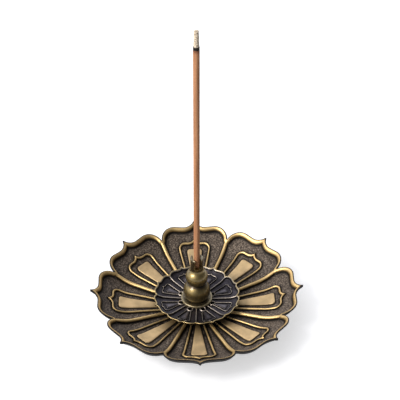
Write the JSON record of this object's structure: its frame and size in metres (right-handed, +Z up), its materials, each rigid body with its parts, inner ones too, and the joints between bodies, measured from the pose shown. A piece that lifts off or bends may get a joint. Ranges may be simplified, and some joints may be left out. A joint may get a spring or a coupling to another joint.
{
  "type": "incense stick holder",
  "caption": "Lotus-shaped metal incense holder: wide petal dish, smaller petal dish and a gourd-shaped post that holds one upright incense stick over the dish.",
  "frame": {"origin": "centre of the foot ring on the surface it stands on, on the axis shared by the dishes, gourd, screw and stick", "axes": "+Z up along the stick; +X and +Y through the tips of two neighbouring-but-one outer petals"},
  "size_m": [0.1, 0.1, 0.1536],
  "materials": {
    "antique_brass": "dark stippled ground with worn bright relief",
    "dark_patina_brass": "blue-black patina with a worn rim",
    "polished_brass": "polished dark olive brass",
    "screw_steel": "zinc plated",
    "incense_paste": "matt pressed powder",
    "charred_incense": "matt charred",
    "incense_ash": "matt ash"
  },
  "bodies": {
    "dish": {"outer_dish": "antique_brass", "inner_dish": "dark_patina_brass"},
    "screw": {"fixing_screw": "screw_steel"},
    "gourd": {"gourd_holder": "polished_brass"},
    "stick": {"incense_stick": "incense_paste", "char_band": "charred_incense", "ash_tip": "incense_ash"}
  },
  "joints": [
    {"name": "screw_turn", "type": "hinge", "parent": "dish", "child": "screw", "pos_m": [0, 0, 0.0035], "axis": [0, 0, -1], "range_deg": [0, 3600]},
    {"name": "gourd_lift", "type": "slide", "parent": "dish", "child": "gourd", "axis": [0, 0, 1], "range_m": [0, 0.007]},
    {"name": "stick_lift", "type": "slide", "parent": "gourd", "child": "stick", "axis": [0, 0, 1], "range_m": [0, 0.015]}
  ],
  "couplings": [
    {"joint": "screw_turn", "follows": "gourd_lift", "rad_per_m": 8976}
  ]
}
